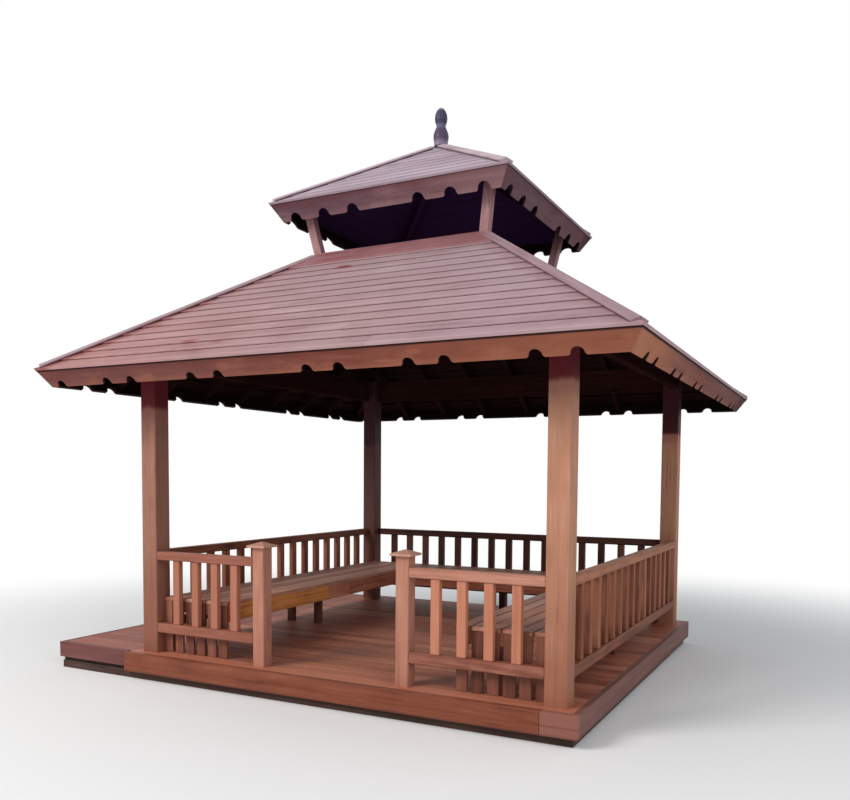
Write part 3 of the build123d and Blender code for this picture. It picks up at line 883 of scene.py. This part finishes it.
def hip_boards(half, height, slope, head):
    """Cap boards in pairs, mitred over the hips, from the eave up to a distance from the middle."""
    lean = math.cos(math.atan(slope))
    stride = math.hypot(1, lean)
    corner = half + roof_board * math.sin(math.atan(slope))
    start = cap_width * lean
    end = (corner - head) * stride / lean
    spare = 2 * cap_board
    made = []
    for turn in turns.values():
        for side in (-1, 1):
            place = slope_place(half, height, slope, turn, 0, roof_board + cap_board / 2)
            place = place @ Matrix.Translation((side * corner, 0, 0))
            place = place @ Matrix.Rotation(math.atan2(1, -side * lean), 4, "Z")
            place = place @ Matrix.Translation(((start + end) / 2, side * (cap_width - spare) / 2, 0))
            size = (end - start, cap_width + spare, cap_board)
            made.append(board("cap", size, place, hip_cuts(turn), eased_cap))
    return made


trim_boards = []
for turn in turns.values():
    place = slope_place(eave_half, eave_height, lower_slope, turn, lower_top - trim_width / 2,
                        roof_board + trim_board / 2)
    size = (trim_length, trim_width, trim_board)
    trim_boards.append(board("trim", size, place, hip_cuts(turn)))
gather("trim_boards", trim_boards, trim_wood, "roof_trim", "top_trim")
lower_caps = hip_boards(eave_half, eave_height, lower_slope, strut_face)
gather("lower_cap_boards", lower_caps, cap_wood, "roof_trim", "lower_hip_caps")
upper_caps = hip_boards(upper_half, upper_height, upper_slope, king_clear)
gather("upper_cap_boards", upper_caps, upper_cap_wood, "roof_trim", "upper_hip_caps")


# Deck boards

def decking(name, node):
    """Boards along x that fill the floor of a node."""
    low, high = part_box(node)
    count = round((high[1] - low[1]) / deck_pitch)
    width = (high[1] - low[1]) / count
    made = []
    for i in range(count):
        middle = ((low[0] + high[0]) / 2, low[1] + width * (i + 0.5), (low[2] + high[2]) / 2)
        size = (high[0] - low[0], width - deck_gap, high[2] - low[2])
        made.append(board("deck_board", size, Matrix.Translation(middle)))
    return gather(name, made, deck_wood, "deck_boards", node)


decking("deck_boards", "deck_floor")
decking("platform_boards", "side_deck_floor")


def packing():
    """Packing strips that close the gap between the sills and the platform's rim, set back from its face,
    near black as painted shade.
    """
    rim_low, rim_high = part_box("side_deck_rim")
    sill_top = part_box("base_sill")[1][2]
    start = rim_low[0] + rim_thickness
    length = rim_high[0] - start
    made = []
    for side in (-1, 1):
        y = side * (rim_high[1] - packing_setback - packing_width / 2)
        middle = (start + length / 2, y, (sill_top + rim_low[2]) / 2)
        size = (length, packing_width, rim_low[2] - sill_top)
        made.append(board("packing", size, Matrix.Translation(middle)))
    return gather("platform_packing", made, packing_shade_wood, "base_wood")


packing()


# Railings

def railing(node, turn, count, wood):
    """Two rails with balusters spread evenly between them, outer faces flush with the posts."""
    low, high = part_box(node)
    axis = 1 if turn in (90, 270) else 0
    middle, length = (low[axis] + high[axis]) / 2, high[axis] - low[axis]
    depth = -post_face + rail_depth / 2
    foot, head = low[2] + rail_foot_height, high[2] - rail_top_height
    made = []
    for bottom, top in ((low[2], foot), (head, high[2])):
        place = turned(turn) @ Matrix.Translation((middle, depth, (bottom + top) / 2))
        made.append(board("rail", (length, rail_depth, top - bottom), place, (), eased_rail))
    for i in range(count):
        step = middle - length / 2 + length * (i + 1) / (count + 1)
        place = turned(turn) @ Matrix.Translation((step, depth, (foot + head) / 2)) @ upright
        made.append(board("baluster", (head - foot, baluster_depth, baluster_width), place))
    return gather(f"{node}_bars", made, wood, "rail_stain", node)


railing("front_left_railing", turns["front"], front_balusters, rail_wood)
railing("front_right_railing", turns["front"], front_balusters, rail_wood)
railing("right_railing", turns["right"], side_balusters, side_rail_wood)
railing("left_railing", turns["left"], side_balusters, side_rail_wood)
railing("back_railing", turns["back"], side_balusters, back_rail_wood)


# Benches

def seat(node, lengthwise):
    """Seat slats side by side; lengthwise is the axis that they run along."""
    low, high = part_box(node)
    cross = 1 - lengthwise
    width = (high[cross] - low[cross] - (seat_slats - 1) * seat_gap) / seat_slats
    made = []
    for i in range(seat_slats):
        middle = [(a + b) / 2 for a, b in zip(low, high)]
        middle[cross] = low[cross] + width / 2 + i * (width + seat_gap)
        size = (high[lengthwise] - low[lengthwise], width, high[2] - low[2])
        made.append(board("slat", size, Matrix.Translation(middle) @ turned(90 * lengthwise), (), eased_slat))
    return gather(f"{node}_slats", made, seat_wood, "bench_wood", node)


def bench_end(node):
    """Upright slats that close the front end of a side bench."""
    low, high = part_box(node)
    pitch = (high[0] - low[0] - end_slat) / (seat_slats - 1)
    made = []
    for i in range(seat_slats):
        middle = (low[0] + end_slat / 2 + i * pitch, (low[1] + high[1]) / 2, (low[2] + high[2]) / 2)
        size = (high[2] - low[2], high[1] - low[1], end_slat)
        made.append(board("end_slat", size, Matrix.Translation(middle) @ upright))
    return gather(f"{node}_slats", made, end_wood, "bench_wood", node)


def beam(low, high, axis):
    """Board that fills a box and runs along one axis, 0 for x and 1 for y."""
    middle = [(a + b) / 2 for a, b in zip(low, high)]
    size = [b - a for a, b in zip(low, high)]
    if axis:
        size = [size[1], size[0], size[2]]
    return board("beam", size, Matrix.Translation(middle) @ turned(90 * axis))


def side_beam(side, near, far, start, end, bottom, top, axis):
    """Beam between two distances from the middle, on the left (-1) or the right (1)."""
    x_low, x_high = sorted((side * near, side * far))
    return beam((x_low, start, bottom), (x_high, end, top), axis)


def side_bench(node, side, breaks):
    """Fascia boards under the seat's inner edge, a ledger along the railing and bearers between them."""
    low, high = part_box(node)
    inner, outer = sorted((abs(low[0]), abs(high[0])))
    behind, ledge = inner + bench_fascia, outer - ledger_width
    bottom = high[2] - ledger_height
    ends = [low[1], *breaks, high[1]]
    made = []
    for start, end in zip(ends[:-1], ends[1:]):
        made.append(side_beam(side, inner, behind, start, end - bench_joint, low[2], high[2], 1))
    made.append(side_beam(side, ledge, outer, low[1], high[1], bottom, high[2], 1))
    for i in range(side_bearers):
        y = low[1] + i * (high[1] - low[1] - ledger_width) / (side_bearers - 1)
        made.append(side_beam(side, behind, ledge, y, y + ledger_width, bottom, high[2], 0))
    return made


def back_bench(node):
    """Fascia board under the back seat's inner edge, a ledger along the railing and bearers between them."""
    low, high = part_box(node)
    behind, ledge = low[1] + bench_fascia, high[1] - ledger_width
    bottom = high[2] - ledger_height
    made = [
        beam(low, (high[0], behind, high[2]), 0),
        beam((low[0], ledge, bottom), high, 0),
    ]
    for i in range(back_bearers):
        x = low[0] + i * (high[0] - low[0] - ledger_width) / (back_bearers - 1)
        made.append(beam((x, behind, bottom), (x + ledger_width, ledge, high[2]), 1))
    return made


for name in ("left", "right", "back"):
    seat(f"{name}_bench_seat", 0 if name == "back" else 1)
bench_end("left_bench_end")
bench_end("right_bench_end")
left_timbers = side_bench("left_bench_frame", -1, left_bench_joints)
gather("left_bench_honey_board", left_timbers[:1], honey_wood, "bench_wood")
gather("left_bench_timbers", left_timbers[1:], bench_wood, "bench_wood", "left_bench_frame")
right_timbers = side_bench("right_bench_frame", 1, right_bench_joints)
gather("right_bench_timbers", right_timbers, bench_wood, "bench_wood", "right_bench_frame")
gather("back_bench_timbers", back_bench("back_bench_frame"), bench_wood, "bench_wood", "back_bench_frame")


# Stage, light and camera

def stage_floor():
    """Plain pale floor that fades to white far from the gazebo."""
    clear_choice()
    bpy.ops.mesh.primitive_plane_add(size=floor_size, location=(0, 0, -floor_drop))
    ground = bpy.context.active_object
    ground.name = "floor"
    finish = Finish("floor_white")
    x, y = finish.coordinates()[:2]
    reach = (x * x + y * y).power(0.5)
    far = finish.ramp(reach, *floor_fade)
    paint = finish.node("BsdfDiffuse", {}, Color=(0.92, 0.92, 0.92, 1.0))
    white = finish.node("Emission", {}, Color=(1.0, 1.0, 1.0, 1.0), Strength=1.0)
    seen = Field(finish, finish.node("LightPath", {}).outputs["Is Camera Ray"])
    mixed = finish.node("MixShader", {}, far * seen, paint.outputs[0], white.outputs[0])
    finish.node("OutputMaterial", {}, Surface=mixed.outputs[0])
    ground.data.materials.append(finish.material)


def soft_lamp(name, place, aim, size, power, colour):
    """Round area lamp turned towards a point."""
    lamp = bpy.data.lights.new(name, "AREA")
    lamp.shape = "DISK"
    lamp.size = size
    lamp.energy = power
    lamp.color = colour
    holder = bpy.data.objects.new(name, lamp)
    bpy.context.scene.collection.objects.link(holder)
    holder.location = place
    holder.rotation_euler = (Vector(aim) - Vector(place)).to_track_quat("-Z", "Y").to_euler()


def surroundings():
    """White seen by the camera and in reflections; a soft even light for all else."""
    world = bpy.data.worlds.new("studio")
    bpy.context.scene.world = world
    world.use_nodes = True
    tree = world.node_tree
    tree.nodes.clear()
    rays = tree.nodes.new("ShaderNodeLightPath")
    seen = tree.nodes.new("ShaderNodeMath")
    seen.operation = "MAXIMUM"
    tree.links.new(rays.outputs["Is Camera Ray"], seen.inputs[0])
    tree.links.new(rays.outputs["Is Glossy Ray"], seen.inputs[1])
    plain = tree.nodes.new("ShaderNodeBackground")
    plain.inputs["Color"].default_value = (0.94, 0.97, 1.0, 1.0)
    plain.inputs["Strength"].default_value = 0.5
    white = tree.nodes.new("ShaderNodeBackground")
    white.inputs["Color"].default_value = (1.0, 1.0, 1.0, 1.0)
    white.inputs["Strength"].default_value = 1.0
    mix = tree.nodes.new("ShaderNodeMixShader")
    out = tree.nodes.new("ShaderNodeOutputWorld")
    tree.links.new(seen.outputs[0], mix.inputs[0])
    tree.links.new(plain.outputs[0], mix.inputs[1])
    tree.links.new(white.outputs[0], mix.inputs[2])
    tree.links.new(mix.outputs[0], out.inputs["Surface"])


def camera():
    """Viewpoint of the photograph: near the front right corner, at eye height."""
    lens = bpy.data.cameras.new("camera")
    lens.sensor_fit = "HORIZONTAL"
    lens.sensor_width = 36.0
    lens.lens = 35.31
    lens.shift_y = 0.1438
    view = bpy.data.objects.new("camera", lens)
    bpy.context.scene.collection.objects.link(view)
    eye = (3.279, -6.627, 1.631)
    yaw, pitch, roll = 0.47504, -0.05566, 0.00709
    ahead = Vector((-math.sin(yaw) * math.cos(pitch), math.cos(yaw) * math.cos(pitch), math.sin(pitch)))
    right = Vector((math.cos(yaw), math.sin(yaw), 0.0))
    up = right.cross(ahead)
    level = right * math.cos(roll) + up * math.sin(roll)
    top = up * math.cos(roll) - right * math.sin(roll)
    axes = Matrix((level, top, -ahead)).transposed().to_4x4()
    view.matrix_world = Matrix.Translation(eye) @ axes
    bpy.context.scene.camera = view


stage_floor()
surroundings()
soft_lamp("key", (-6.0, -11.0, 9.0), lamp_aim, size=6.0, power=1150.0, colour=(1.0, 0.97, 0.93))
soft_lamp("fill", (9.0, -6.0, 6.0), lamp_aim, size=7.0, power=300.0, colour=(0.95, 0.97, 1.0))
camera()
bpy.context.scene.view_settings.view_transform = "Standard"
